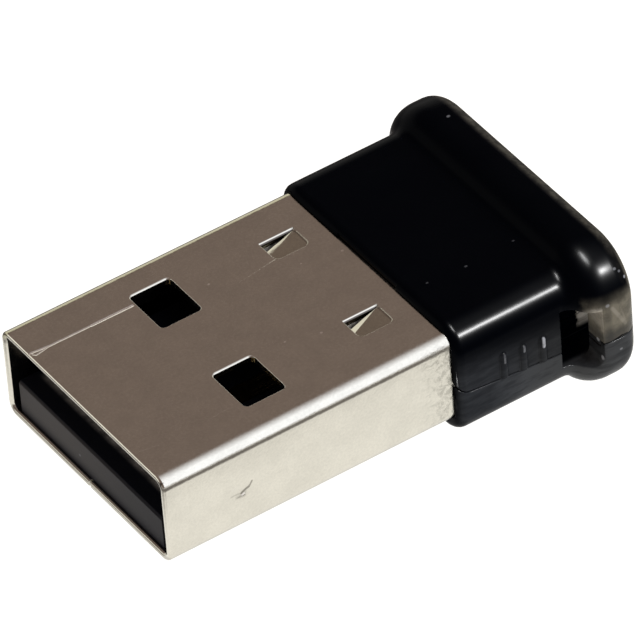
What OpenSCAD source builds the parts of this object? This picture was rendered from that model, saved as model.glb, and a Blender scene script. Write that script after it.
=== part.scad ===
// USB bluetooth adapter: a full-size metal plug with a short moulded housing behind it.
// X runs from the plug's mouth to the rear of the housing, -Y is the side with the
// lanyard opening, and +Z is up. All lengths are in millimetres. The origin lies under
// the middle of the adapter, on the plane of its lowest face.

/* [Metal plug] */
// Width of the plug
plug_w = 12.0; // [11.6:0.1:12.6]
// Height of the plug
plug_h = 4.5; // [4.3:0.1:5]
// Thickness of the plug's sheet
plug_wall = 0.3; // [0.25:0.01:0.36]
// Outer radius of the plug's folded corners
plug_corner_r = 0.56; // [0.5:0.01:0.75]
// Length of the plug that stands out of the housing
plug_reach = 13.95; // [13.5:0.05:16]
// Length of the plug that the housing grips
plug_grip = 2.45; // [2.2:0.05:2.7]
// Width of the folded seam under the plug
seam_w = 0.06; // [0.04:0.01:0.1]

/* [Latch windows] */
// Distance from the mouth to the front edge of a window
window_from_mouth = 5.16; // [4.6:0.02:6]
// Length of a window
window_l = 2.0; // [1.6:0.05:2.4]
// Width of a window
window_w = 2.5; // [2:0.05:2.8]
// Distance between the middles of the two windows of a face
window_pitch = 6.1; // [5.6:0.05:6.6]
// Corner radius of a window
window_corner_r = 0.22; // [0.1:0.01:0.4]

/* [Lances] */
// Distance from the housing to the rear end of a lance
lance_from_housing = 1.05; // [1:0.05:1.5]
// Length of a lance
lance_l = 1.7; // [1.4:0.05:1.9]
// Width of the coined field around a lance
lance_field_w = 1.22; // [1:0.02:1.4]
// Width of the bent corner of a lance
lance_tip_w = 0.8; // [0.6:0.02:0.9]
// Width of the corner's outer part, which is bent again
lance_fold_w = 0.42; // [0.3:0.02:0.5]
// Angle by which a lance's corner is bent inwards
lance_tilt = 15; // [10:1:30]
// Angle of the second bend
lance_fold_tilt = 36; // [20:1:45]

/* [Insulator and contacts] */
// Distance of the tongue behind the mouth
tongue_recess = 0.2; // [0.1:0.05:0.4]
// Thickness of the tongue
tongue_t = 1.68; // [1.6:0.02:1.8]
// Space between the tongue's sides and the plug
tongue_side_gap = 0.4; // [0.2:0.02:0.5]
// Depth of the socket above the tongue
socket_depth = 9.6; // [9.2:0.05:9.9]
// Distance from the housing to the insulator's rear end
insulator_to_housing = 0.95; // [0.8:0.05:1]
// Space between the insulator and the board
insulator_to_board = 0.1; // [0.05:0.01:0.2]
// Width of a contact
contact_w = 1.0; // [0.8:0.02:1.1]
// Thickness of a contact
contact_t = 0.2; // [0.16:0.01:0.24]
// Height of a contact above the tongue
contact_proud = 0.02; // [0.01:0.01:0.06]
// Distance between the middles of the two data contacts
data_pitch = 2.0; // [1.8:0.05:2.2]
// Distance between the middles of the power and ground contacts
power_pitch = 7.0; // [6.6:0.05:7.4]
// Distance from the mouth to the power and ground contacts
power_from_mouth = 1.45; // [1.2:0.05:1.8]
// Distance from the mouth to the data contacts
data_from_mouth = 2.45; // [2.2:0.05:2.8]
// Length of a contact's tail on the board
tail_l = 1.05; // [0.9:0.05:1.1]

/* [Housing] */
// Plastic over the plug
cover_over_plug = 0.36; // [0.3:0.01:0.5]
// Plastic under the plug
cover_under_plug = 0.74; // [0.5:0.01:0.8]
// Plastic beside the plug
cover_beside_plug = 0.38; // [0.32:0.01:0.5]
// Thickness of the covers behind the plug
cover_wall = 0.7; // [0.66:0.01:0.78]
// Length of the body in front of the flange
body_l = 5.6; // [5.5:0.05:6.5]
// Corner radius of the body
body_corner_r = 1.2; // [1:0.05:1.3]
// Radius of the body's front edge
front_edge_r = 0.45; // [0.2:0.05:0.5]
// Thickness of the flange
flange_t = 2.75; // [2.65:0.05:3.2]
// Height of the flange above the body's sides
flange_side_step = 1.1; // [0.9:0.05:1.3]
// Height of the flange above the body's top and bottom
flange_top_step = 0.8; // [0.6:0.02:1.1]
// Corner radius of the flange
flange_corner_r = 2.5; // [2.2:0.05:2.8]
// Radius of the flange's front edge
flange_front_r = 1.4; // [1:0.05:1.5]
// Radius of the flange's rear edge
flange_rear_r = 0.85; // [0.6:0.05:1.1]
// Radius of the hollow between the body and the flange
flare_r = 0.6; // [0.5:0.05:1.3]
// Width of the relief in the top cover's front edge
relief_w = 4.2; // [3:0.1:6]
// Depth of the relief in the top cover's front edge
relief_l = 0.1; // [0.05:0.01:0.2]

/* [Parting line] */
// Gap between the covers
parting_gap = 0.06; // [0.04:0.01:0.1]
// Height of the parting line at the front edge, above the plug's middle
parting_front_z = 0.26; // [0.1:0.02:0.5]
// Drop of the parting line behind the rounded front corner
parting_drop = 0.85; // [0.8:0.01:0.95]
// Radius of the top cover's rounded front corner
parting_corner_r = 0.7; // [0.4:0.05:0.75]
// Slope of the parting line along the body, in degrees
parting_slope = 5.5; // [3:0.5:7]
// Depth of the parting line below the plug's middle on the flange
parting_flange_z = 0.58; // [0.4:0.02:0.8]
// Reach of the top cover's inner lip below the parting line
lap_depth = 0.3; // [0.2:0.02:0.4]
// Depth of the lip's outer face behind the housing's skin
lap_inset = 0.35; // [0.3:0.01:0.4]

/* [Grip ribs] */
// Distance from the body's front edge to the first rib
rib_from_front = 2.28; // [1.9:0.02:2.4]
// Distance between the middles of two ribs
rib_pitch = 0.97; // [0.8:0.01:1.05]
// Ribs on each side
rib_count = 3; // [1:1:3]
// Height of a rib above the parting line
rib_h = 1.38; // [1:0.02:1.5]
// Radius of a rib
rib_r = 0.2; // [0.15:0.01:0.25]
// How far a rib stands out of the cover
rib_proud = 0.13; // [0.08:0.01:0.15]

/* [Lanyard opening] */
// Thickness of the post behind the opening in the side
loop_post_t = 1.8; // [1.7:0.05:1.9]
// Width of the post beside the opening in the rear
loop_post_w = 1.2; // [1.1:0.05:1.3]
// Length of the opening in the side
loop_side_l = 1.4; // [1.2:0.05:1.45]
// Width of the opening in the rear
loop_rear_w = 1.4; // [1.2:0.05:1.5]
// Height of the opening
loop_h = 3.0; // [2.4:0.05:3.1]
// Depth of the opening's middle below the housing's middle
loop_drop = 0.16; // [0.1:0.02:0.4]
// Radius where the post's front meets the opening's floor
loop_foot_r = 0.5; // [0.3:0.05:0.6]
// Thickness of the walls round the opening
loop_wall = 0.6; // [0.5:0.02:0.65]

/* [Circuit board] */
// Thickness of the board
board_t = 0.8; // [0.6:0.05:0.85]
// Space between the board and the walls beside it
board_gap = 0.15; // [0.1:0.01:0.2]
// Space between the board and the rear wall
board_rear_gap = 0.3; // [0.15:0.05:0.4]
// Diameter of the pegs that locate the board
peg_d = 0.7; // [0.5:0.05:0.8]
// Space round a peg in its hole and its boss
peg_fit = 0.06; // [0.03:0.01:0.08]
// Wall of a boss, and of the shoulder above it
boss_wall = 0.35; // [0.3:0.01:0.45]
// Depth of a peg in its boss
peg_depth = 0.5; // [0.3:0.05:0.6]
// Least space between a part and the board's edge
board_rim = 0.15; // [0.1:0.01:0.25]
// Least space between two parts on the board
part_gap = 0.1; // [0.05:0.01:0.15]

/* [Parts on the board] */
// Width of the square radio chip
radio_w = 3.6; // [3:0.1:4]
// Height of the radio chip
radio_h = 0.85; // [0.6:0.05:1]
// Length of a six-lead package
package_l = 2.0; // [1.8:0.05:2.2]
// Width of a six-lead package across its leads
package_span = 2.1; // [1.9:0.05:2.2]
// Width of a six-lead package's body
package_body_w = 1.25; // [1.1:0.05:1.4]
// Height of a six-lead package
package_h = 0.95; // [0.8:0.05:1.1]
// Length of the crystal
crystal_l = 3.2; // [3:0.05:3.4]
// Width of the crystal
crystal_w = 2.5; // [2.2:0.05:2.6]
// Height of the crystal
crystal_h = 0.7; // [0.55:0.05:0.75]
// Height of the crystal's ceramic base
crystal_base_h = 0.45; // [0.35:0.05:0.5]
// Distance from the crystal's side to its lid
crystal_lid_step = 0.15; // [0.1:0.01:0.2]
// Length of the chip antenna
antenna_l = 3.2; // [2.8:0.05:3.4]
// Width of the chip antenna
antenna_w = 1.6; // [1.4:0.05:1.65]
// Height of the chip antenna
antenna_h = 1.1; // [0.9:0.05:1.3]
// Length of a small chip component
small_l = 1.0; // [0.9:0.02:1.04]
// Width of a small chip component
small_w = 0.5; // [0.4:0.02:0.55]
// Height of a small chip component
small_h = 0.5; // [0.4:0.02:0.55]
// Space between small chip components in a row
small_gap = 0.3; // [0.2:0.02:0.35]

/* [Hidden] */
$fn = 48;
// Extra reach of a cut past the face it opens
past = 0.5;

// Space between the plug and the covers
plug_fit = 0.02;
// Space between the insulator and the plug
insulator_fit = 0.02;
// Space beside a contact in its channel
channel_fit = 0.03;
// Depth of the coined field round a lance
coin_depth = 0.05;
// Radius of the coined field's corners
coin_r = 0.3;
// Edge that the tool breaks along a lance's slit
slit_edge = 0.09;
// Radius and depth of the dents in the plug's sides
dent_r = 0.5;
dent_depth = 0.09;
dent_from_mouth = 3.56;
dent_below_middle = 0.2;
// Bevel on the tongue's front edge and on a contact's nose
tongue_bevel = 0.1;
nose_l = 0.35;
// Dovetails that lock the folded seam
dovetail_l = 1.3;
dovetail_depth = 0.8;
dovetail_flare = 0.25;
dovetail_places = [3.1, 11.2];
seam_slack = 3;

// Levels, with z = 0 at the middle of the plug
inner_w = plug_w - 2 * plug_wall;
inner_h = plug_h - 2 * plug_wall;
inner_corner_r = plug_corner_r - plug_wall;
plug_floor = -inner_h / 2;
tongue_top = plug_floor + tongue_t;
contact_top = tongue_top + contact_proud;
board_top = contact_top - contact_t;
board_bottom = board_top - board_t;

// Side places of the contacts
power_y = power_pitch / 2;
data_y = data_pitch / 2;

// Places along the adapter, with x = 0 at the mouth
plug_end = plug_reach + plug_grip;
flange_front = plug_reach + body_l;
rear = flange_front + flange_t;
lance_end = plug_reach - lance_from_housing;
insulator_end = plug_reach - insulator_to_housing;
board_front = insulator_end + insulator_to_board;
board_rear = rear - cover_wall - board_rear_gap;
tail_end = board_front + tail_l;

// The housing's section
body_half_w = plug_w / 2 + plug_fit + cover_beside_plug;
body_half_h = (plug_h + 2 * plug_fit + cover_over_plug + cover_under_plug) / 2;
housing_z = (cover_over_plug - cover_under_plug) / 2;
flange_half_w = body_half_w + flange_side_step;
flange_half_h = body_half_h + flange_top_step;
lowest = housing_z - flange_half_h;
cavity_half_w = body_half_w - cover_wall;
cavity_half_h = body_half_h - cover_wall;
cavity_floor = housing_z - cavity_half_h;
cavity_ceiling = housing_z + cavity_half_h;
cavity_corner_r = 0.5;
pocket_gap = 0.05;

// Steps of the housing's lofted curves
corner_steps = 12;
edge_steps = 5;
flare_steps = 6;
round_steps = 8;

// Where the hollow leaves the body and meets the flange's rounded front edge
blend_r = flare_r + flange_front_r;
flare_run = sqrt(pow(blend_r, 2) - pow(blend_r - flange_side_step, 2));
round_end = flange_front + flange_front_r;
flare_start = round_end - flare_run;
flare_end = flare_start + flare_run * flare_r / blend_r;

// The lanyard passage
loop_rear_x = rear - loop_post_t;
loop_front_x = loop_rear_x - loop_side_l;
loop_outer_y = -flange_half_w + loop_post_w;
loop_inner_y = loop_outer_y + loop_rear_w;
loop_z = housing_z - loop_drop - loop_h / 2;
block_front_x = loop_front_x - loop_wall;
block_inner_y = loop_inner_y + loop_wall;

// The parting line
parting_body_z = parting_front_z - parting_drop;
parting_corner_x = plug_reach + parting_corner_r;
parting_end_z = parting_body_z - tan(parting_slope) * (loop_front_x - parting_corner_x);

// Solder mounds on the contacts' tails, and fillets between the board and the plug
solder_r = 0.3;
joint_setback = 0.1;
fillet_leg = 0.35;
fillet_l = 0.9;
fillet_pitch = 1.3;
fillet_setback = 0.3;

// Leads of a six-lead package, and the ends of a small chip component
lead_w = 0.22;
lead_t = 0.12;
lead_rise = 0.4;
lead_pitch = 0.65;
lead_sink = 0.05;
end_cap = 0.22;
end_proud = 0.015;
resistor_h = 0.35;

// The first row of parts, behind the solder on the contacts' tails
row_x = tail_end - joint_setback + solder_r + part_gap;
row_end = max(plug_end, row_x + package_l) + part_gap;

// The board's outline and the pegs that locate it
board_half_w = min(inner_w / 2, cavity_half_w) - board_gap;
notch_x = block_front_x - board_gap;
notch_y = block_inner_y + board_gap;
boss_r = peg_d / 2 + peg_fit + boss_wall;
peg_x = row_end + boss_r;
near_peg_y = notch_y + board_rim + peg_fit + peg_d / 2;
far_peg_y = board_half_w - boss_r;
peg_places = [[peg_x, near_peg_y], [peg_x, far_peg_y]];

// Places of the parts on top of the board, from its front to its rear
package_x = row_x + package_l / 2;
package_y = inner_w / 2 - fillet_leg - part_gap - package_span / 2;
radio_x = row_x + radio_w / 2;
radio_y = (near_peg_y + boss_r + package_y - package_span / 2) / 2;
aerial_x = board_rear - board_rim - antenna_w / 2;
aerial_y = board_half_w - board_rim - antenna_l / 2;
light_size = [0.8, 1.5, 0.6];
light_y = notch_y + board_rim + light_size[1] / 2;
filter_size = [1.25, 2.0, 0.95];
filter_y = (light_y + light_size[1] / 2 + aerial_y - antenna_l / 2) / 2;

// Places of the parts below the board
memory_size = [1.9, 2.9, 0.5];
memory_x = row_x + memory_size[0] / 2;
beside_memory_y = (memory_size[1] + small_l) / 2 + small_gap;
bead_size = [1.6, 0.8, 0.75];
bead_x = row_end + bead_size[0] / 2;
bead_y = near_peg_y + boss_r + part_gap + bead_size[1] / 2;
crystal_x = row_end + crystal_w / 2;
crystal_y = bead_y + bead_size[1] / 2 + part_gap + crystal_l / 2;
rear_row_x = board_rear - board_rim - small_w / 2;

metal = "silver";
smoke = [0.09, 0.1, 0.12];
black = [0.16, 0.16, 0.18];
gold = [0.85, 0.68, 0.35];
green = [0.08, 0.32, 0.2];
tin = [0.75, 0.76, 0.78];

// Moves a child from the plug's frame, with x at the mouth and z at its middle
module in_place() {
    translate([-rear / 2, 0, -lowest]) children();
}

// A rectangle with round corners, centred
module rounded_rect(w, h, r) {
    square([w - 2 * r, h], center = true);
    square([w, h - 2 * r], center = true);
    for (x = [-1, 1], y = [-1, 1])
        translate([x * (w / 2 - r), y * (h / 2 - r)]) circle(r);
}

// A bar along X with a rounded section, its middle at height z
module bar(x0, x1, w, h, r, z = 0) {
    translate([x0, 0, z]) rotate([90, 0, 90]) linear_extrude(x1 - x0) rounded_rect(w, h, r);
}

// A block between two corners
module block(low, high) {
    translate(low) cube(high - low);
}

// A block that stands on a level, or hangs below it, centred in X and Y
module on_level(place, size, level, side = 1) {
    translate([place[0], place[1], level + side * size[2] / 2]) cube(size, center = true);
}

// One half of the seam's outline, grown by g: a straight edge with dovetails
module seam_half(g) {
    translate([-past, -g]) square([plug_end + 2 * past, seam_slack + g]);
    for (x = dovetail_places)
        translate([x, 0]) polygon([
            [-dovetail_l / 2 - g, past], [-dovetail_l / 2 - g, 0],
            [-dovetail_l / 2 - dovetail_flare - g, -dovetail_depth - g],
            [dovetail_l / 2 + dovetail_flare + g, -dovetail_depth - g],
            [dovetail_l / 2 + g, 0], [dovetail_l / 2 + g, past]]);
}

// The slit where the folded sheet meets itself under the plug
module seam_cut() {
    translate([0, 0, -plug_h / 2 - past]) linear_extrude(plug_wall + 1.5 * past)
        difference() {
            seam_half(seam_w / 2);
            seam_half(-seam_w / 2);
        }
}

module windows_cut() {
    for (y = [-1, 1])
        translate([window_from_mouth + window_l / 2, y * window_pitch / 2, 0])
            linear_extrude(plug_h + 2 * past, center = true)
                rounded_rect(window_l, window_w, window_corner_r);
}

// A small round dent in each side, which keeps the insulator from sliding
module dents_cut() {
    ball_r = (dent_r * dent_r + dent_depth * dent_depth) / (2 * dent_depth);
    for (y = [-1, 1])
        translate([dent_from_mouth, y * (plug_w / 2 + ball_r - dent_depth), -dent_below_middle])
            sphere(ball_r, $fn = 96);
}

// The lance's triangle, with its corner at the origin and its slit along X
function lance_points() = [[0, 0], [lance_l, 0], [0, -lance_tip_w]];

// Puts a child at the front outer corner of each lance, on the plug's top face
module at_lances() {
    for (y = [-1, 1])
        translate([lance_end - lance_l, y * window_pitch / 2 + lance_field_w / 2, plug_h / 2])
            children();
}

// The hole that a lance leaves in the sheet
module lance_cut() {
    translate([0, 0, -plug_wall - past]) linear_extrude(plug_wall + 2 * past)
        polygon(lance_points());
}

// The coined field that a lance's tool leaves round it
module coin_cut() {
    translate([lance_l / 2, -lance_field_w / 2, -coin_depth]) linear_extrude(past)
        rounded_rect(lance_l, lance_field_w, coin_r);
}

// The broken edge of the sheet beside a lance's slit
module slit_edge_cut() {
    rotate([90, 0, 90]) linear_extrude(lance_l)
        polygon([[0, past], [0, -slit_edge], [slit_edge + past, past]]);
}

// Bends a child down about the line from the lance's rear end to the point w along its front
module lance_bend(w, tilt) {
    turn = atan2(w, lance_l);
    rotate(turn) rotate([-tilt, 0, 0]) rotate(-turn) children();
}

// The sheet between two such lines
module lance_sheet(w0, w1) {
    thickness = plug_wall - coin_depth;
    translate([0, 0, -thickness]) linear_extrude(thickness)
        polygon([[0, 0], [-lance_l, -w0], [-lance_l, -w1]]);
}

// The bent corner of a lance, turned down in two steps
module lance_tab() {
    translate([lance_l, 0, -coin_depth]) lance_bend(lance_tip_w, lance_tilt) {
        lance_sheet(lance_tip_w, lance_fold_w);
        lance_bend(lance_fold_w, lance_fold_tilt) lance_sheet(lance_fold_w, 0);
    }
}

module plug_shell() {
    color(metal) in_place() {
        difference() {
            bar(0, plug_end, plug_w, plug_h, plug_corner_r);
            bar(-past, plug_end + past, inner_w, inner_h, inner_corner_r);
            windows_cut();
            dents_cut();
            seam_cut();
            at_lances() lance_cut();
            at_lances() coin_cut();
            at_lances() slit_edge_cut();
        }
        at_lances() lance_tab();
    }
}

// The channel that a contact lies in, from its front end through the insulator
module channel_cut(from_mouth, y) {
    block([from_mouth - channel_fit, y - contact_w / 2 - channel_fit, board_top],
        [insulator_end + past, y + contact_w / 2 + channel_fit, contact_top + channel_fit]);
}

// Room in the insulator for the bent lances
module lance_rooms() {
    at_lances() block([-channel_fit, -lance_tip_w - channel_fit, -3 * plug_wall],
        [lance_l, channel_fit, past]);
}

module plug_insulator() {
    tongue_w = inner_w - 2 * tongue_side_gap;
    fit_w = inner_w - 2 * insulator_fit;
    fit_h = inner_h - 2 * insulator_fit;
    color(black) in_place() difference() {
        union() {
            translate([0, tongue_w / 2, 0]) rotate([90, 0, 0]) linear_extrude(tongue_w)
                polygon([[tongue_recess, plug_floor + insulator_fit],
                    [socket_depth + past, plug_floor + insulator_fit],
                    [socket_depth + past, tongue_top],
                    [tongue_recess + tongue_bevel, tongue_top],
                    [tongue_recess, tongue_top - tongue_bevel]]);
            bar(socket_depth, insulator_end, fit_w, fit_h, inner_corner_r - insulator_fit);
        }
        for (y = [-data_y, data_y]) channel_cut(data_from_mouth, y);
        for (y = [-power_y, power_y]) channel_cut(power_from_mouth, y);
        lance_rooms();
    }
}

// One flat contact with a bevelled nose, from the mouth to its tail on the board
module contact(from_mouth, y) {
    color(gold) in_place() translate([0, y + contact_w / 2, 0]) rotate([90, 0, 0])
        linear_extrude(contact_w)
            polygon([[from_mouth, board_top], [tail_end, board_top], [tail_end, contact_top],
                [from_mouth + nose_l, contact_top], [from_mouth, board_top + contact_t / 3]]);
}

module contact_power() { contact(power_from_mouth, power_y); }
module contact_data_minus() { contact(data_from_mouth, data_y); }
module contact_data_plus() { contact(data_from_mouth, -data_y); }
module contact_ground() { contact(power_from_mouth, -power_y); }

// Rise of the housing's skin above the body at x, for a flange that is step higher:
// a hollow that leaves the body, then the flange's rounded front edge
function rise(x, step) =
    let (run = sqrt(pow(blend_r, 2) - pow(blend_r - step, 2)),
        start = round_end - run,
        meet = start + run * flare_r / blend_r)
    x <= start ? 0
    : x <= meet ? flare_r - sqrt(pow(flare_r, 2) - pow(x - start, 2))
    : x < round_end ? step - flange_front_r
        + sqrt(pow(flange_front_r, 2) - pow(round_end - x, 2))
    : step;

// One section of the skin: its place, half width, half height and corner radius
function section(x, inset) =
    let (side = rise(x, flange_side_step), top = rise(x, flange_top_step),
        r = body_corner_r + (flange_corner_r - body_corner_r) * side / flange_side_step)
    [x, body_half_w + side - inset, body_half_h + top - inset, r - inset];

// The sections from the front edge to the rear edge, each drawn in by depth
function sections(depth) = concat(
    [for (k = [0:edge_steps]) let (a = 90 * k / edge_steps)
        section(plug_reach + front_edge_r * (1 - cos(a)), depth + front_edge_r * (1 - sin(a)))],
    [for (k = [0:flare_steps])
        section(flare_start + (flare_end - flare_start) * k / flare_steps, depth)],
    [for (k = [1:round_steps]) let (a = acos((round_end - flare_end) / flange_front_r),
        b = a + (90 - a) * k / round_steps)
        section(round_end - flange_front_r * cos(b), depth)],
    [for (k = [0:round_steps]) let (a = 90 * k / round_steps)
        section(rear - flange_rear_r * (1 - sin(a)), depth + flange_rear_r * (1 - cos(a)))]);

// The points round one section, quarter by quarter
function section_points(s) = [for (q = [0:3], k = [0:corner_steps])
    let (a = 90 * (q + k / corner_steps),
        y = (q == 0 || q == 3 ? 1 : -1) * (s[1] - s[3]),
        z = (q < 2 ? 1 : -1) * (s[2] - s[3]))
    [s[0], y + s[3] * cos(a), housing_z + z + s[3] * sin(a)]];

// The housing's outer skin, lofted through its sections, or a copy a little inside it
module skin(depth = 0) {
    rows = sections(depth);
    n = 4 * (corner_steps + 1);
    last = len(rows) - 1;
    polyhedron(
        points = [for (s = rows) each section_points(s)],
        faces = concat(
            [[for (k = [0:n - 1]) k]],
            [for (i = [0:last - 1], k = [0:n - 1]) let (m = (k + 1) % n)
                [i * n + k, (i + 1) * n + k, (i + 1) * n + m, i * n + m]],
            [[for (k = [n - 1:-1:0]) last * n + k]]));
}

// What belongs to the top cover, less a gap all round: above the parting line, and an
// inner lip that laps down behind the lower cover's edge
module top_share(gap) {
    above_parting(gap);
    intersection() {
        above_parting(lap_depth + gap);
        skin(lap_inset - gap);
        block([plug_end + pocket_gap, -flange_half_w, lowest],
            [rear - lap_inset + gap, flange_half_w, -lowest]);
    }
}

// Everything above the parting line, seen from the side and grown downwards by g
module above_parting(g) {
    far = rear + past;
    high = flange_half_h + past;
    translate([0, 3 * flange_half_w / 2, 0]) rotate([90, 0, 0])
        linear_extrude(3 * flange_half_w) {
            translate([plug_reach - past, parting_front_z - g])
                square([far - plug_reach + past, high]);
            translate([parting_corner_x, parting_body_z + parting_corner_r])
                circle(parting_corner_r + g);
            translate([plug_reach - g, parting_body_z + parting_corner_r])
                square([parting_corner_r + g,
                    parting_front_z - parting_body_z - parting_corner_r]);
            polygon([[parting_corner_x, high], [parting_corner_x, parting_body_z - g],
                [loop_front_x, parting_end_z - g], [loop_front_x, high]]);
            translate([loop_front_x, -parting_flange_z - g])
                square([far - loop_front_x, high]);
        }
}

// The hollow inside the covers, with the walls round the lanyard opening left standing
module cavity() {
    difference() {
        union() {
            bar(plug_end - past, rear - cover_wall, 2 * cavity_half_w, 2 * cavity_half_h,
                cavity_corner_r, housing_z);
            bar(flange_front + cover_wall, rear - cover_wall,
                2 * (cavity_half_w + flange_side_step / 2),
                2 * (cavity_half_h + flange_top_step / 2), flange_corner_r - cover_wall,
                housing_z);
        }
        block([block_front_x, -flange_half_w, lowest],
            [rear, block_inner_y, housing_z + flange_half_h]);
    }
}

// The pocket that grips the plug
module plug_pocket() {
    bar(plug_reach - past, plug_end + pocket_gap, plug_w + 2 * plug_fit,
        plug_h + 2 * plug_fit, plug_corner_r + plug_fit);
}

// The side opening as seen from the side, rounded where the post meets its floor
module side_opening() {
    difference() {
        square([loop_side_l, loop_h]);
        translate([loop_side_l - loop_foot_r, 0]) difference() {
            square(loop_foot_r);
            translate([0, loop_foot_r]) circle(loop_foot_r);
        }
    }
}

// The passage for a lanyard, in at the side and out at the rear, round a corner post
module lanyard_cut() {
    translate([loop_front_x, loop_outer_y + past, loop_z]) rotate([90, 0, 0])
        linear_extrude(flange_half_w + loop_outer_y + 2 * past) side_opening();
    block([loop_front_x, loop_outer_y, loop_z],
        [rear + past, loop_inner_y, loop_z + loop_h]);
}

// Half-round ribs that rise from the parting line on both sides
module grip_ribs() {
    for (side = [-1, 1], k = [0:rib_count - 1]) {
        x = plug_reach + rib_from_front + k * rib_pitch;
        foot = parting_body_z - tan(parting_slope) * (x - parting_corner_x);
        translate([x, side * (body_half_w + rib_proud - rib_r), foot]) {
            cylinder(rib_h - rib_r, r = rib_r);
            translate([0, 0, rib_h - rib_r]) sphere(rib_r);
        }
    }
}

// Shoulders that press on the board, each with a peg that goes through it
module pegs() {
    for (p = peg_places) translate([p[0], p[1], 0]) {
        translate([0, 0, board_top]) cylinder(cavity_ceiling + past - board_top, r = boss_r);
        translate([0, 0, board_bottom - peg_depth])
            cylinder(board_t + peg_depth + past, d = peg_d);
    }
}

// Bosses under the board, bored for the pegs
module bosses() {
    for (p = peg_places) translate([p[0], p[1], cavity_floor - past]) difference() {
        cylinder(board_bottom - cavity_floor + past, r = boss_r);
        translate([0, 0, past]) cylinder(plug_h, r = peg_d / 2 + peg_fit);
    }
}

module relief_cut() {
    block([plug_reach - past, -relief_w / 2, plug_h / 2 - past],
        [plug_reach + relief_l, relief_w / 2, plug_h]);
}

module upper_cover() {
    color(smoke) in_place() {
        difference() {
            intersection() {
                skin();
                top_share(0);
            }
            cavity();
            plug_pocket();
            lanyard_cut();
            relief_cut();
        }
        grip_ribs();
        pegs();
    }
}

module lower_cover() {
    color(smoke) in_place() {
        difference() {
            skin();
            top_share(parting_gap);
            cavity();
            plug_pocket();
            lanyard_cut();
        }
        bosses();
    }
}

module circuit_board() {
    color(green) in_place() translate([0, 0, board_bottom]) linear_extrude(board_t)
        difference() {
            polygon([[board_front, -board_half_w], [notch_x, -board_half_w],
                [notch_x, notch_y], [board_rear, notch_y], [board_rear, board_half_w],
                [board_front, board_half_w]]);
            for (p = peg_places) translate(p) circle(peg_d / 2 + peg_fit);
        }
}

module radio_chip() {
    color(black) in_place()
        on_level([radio_x, radio_y], [radio_w, radio_w, radio_h], board_top);
}

module memory_chip() {
    color(black) in_place() on_level([memory_x, 0], memory_size, board_bottom, -1);
}

// A ceramic base with a smaller metal lid
module crystal() {
    base = [crystal_w, crystal_l, crystal_base_h];
    lid = [crystal_w - 2 * crystal_lid_step, crystal_l - 2 * crystal_lid_step, crystal_h];
    color(tin) in_place() {
        on_level([crystal_x, crystal_y], base, board_bottom, -1);
        on_level([crystal_x, crystal_y], lid, board_bottom, -1);
    }
}

// A moulded package with three bent leads on each side
module package(x, y) {
    foot_l = (package_span - package_body_w) / 2 + lead_sink;
    in_place() {
        on_level([x, y], [package_l, package_body_w, package_h], board_top);
        for (k = [-1:1], s = [-1, 1]) translate([x + k * lead_pitch, y, 0]) {
            on_level([0, s * (package_span - foot_l) / 2], [lead_w, foot_l, lead_t], board_top);
            on_level([0, s * (package_body_w + lead_t - lead_sink) / 2],
                [lead_w, lead_t + lead_sink, lead_rise], board_top);
        }
    }
}

module voltage_regulator() { color(black) package(package_x, package_y); }
module surge_protector() { color(black) package(package_x, -package_y); }

// A chip component with a solderable cap at each end, along Y
module capped_chip(place, size, level, side = 1) {
    on_level(place, size, level, side);
    for (e = [-1, 1])
        on_level([place[0], place[1] + e * (size[1] - end_cap) / 2],
            [size[0] + 2 * end_proud, end_cap, size[2] + end_proud], level, side);
}

module band_filter() {
    color("beige") in_place() capped_chip([aerial_x, filter_y], filter_size, board_top);
}

module chip_antenna() {
    color("white") in_place()
        capped_chip([aerial_x, aerial_y], [antenna_w, antenna_l, antenna_h], board_top);
}

// A pale base with a rounded clear lens
module indicator_light() {
    lens_r = light_size[0] / 2;
    base = [light_size[0], light_size[1], light_size[2] - lens_r];
    color("lightyellow") in_place() {
        capped_chip([aerial_x, light_y], base, board_top);
        intersection() {
            translate([aerial_x, light_y, board_top + base[2]]) rotate([0, 90, 0])
                cylinder(light_size[0], r = lens_r, center = true);
            on_level([aerial_x, light_y], light_size, board_top);
        }
    }
}

module power_bead() {
    color("dimgray") in_place() translate([bead_x, bead_y, 0]) rotate(90)
        capped_chip([0, 0], [bead_size[1], bead_size[0], bead_size[2]], board_bottom, -1);
}

// Capacitors below the board: three beside the memory chip and three under the antenna
module capacitors() {
    size = [small_w, small_l, small_h];
    color("tan") in_place() {
        for (k = [-1:1])
            capped_chip([memory_x + k * (small_w + small_gap), beside_memory_y], size,
                board_bottom, -1);
        for (k = [0:2])
            capped_chip([rear_row_x, board_half_w - board_rim - small_l / 2
                - k * (small_l + small_gap)], size, board_bottom, -1);
    }
}

// Resistors below the board, under the indicator light
module resistors() {
    size = [small_w, small_l, resistor_h];
    color([0.15, 0.15, 0.17]) in_place()
        for (k = [0:1])
            capped_chip([rear_row_x - k * (small_w + small_gap), notch_y + board_rim + small_l / 2],
                size, board_bottom, -1);
}

// A low solder mound over the end of each contact's tail
module contact_joints() {
    clear = 2 * solder_r;
    color(tin) in_place() for (y = [-power_y, -data_y, data_y, power_y])
        translate([tail_end - joint_setback, y, board_top]) difference() {
            intersection() {
                sphere(solder_r, $fn = 12);
                block([-clear, -clear, 0], [clear, clear, clear]);
            }
            block([-clear, -contact_w, -past], [joint_setback, contact_w, contact_t]);
        }
}

// Solder fillets that join the board to the plug's side walls
module shell_joints() {
    color(tin) in_place() for (s = [-1, 1], k = [0:1])
        translate([plug_end - fillet_setback - fillet_l - k * fillet_pitch, s * inner_w / 2,
            board_top]) rotate([90, 0, 90]) linear_extrude(fillet_l)
                polygon([[0, 0], [-s * fillet_leg, 0], [0, fillet_leg]]);
}

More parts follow.
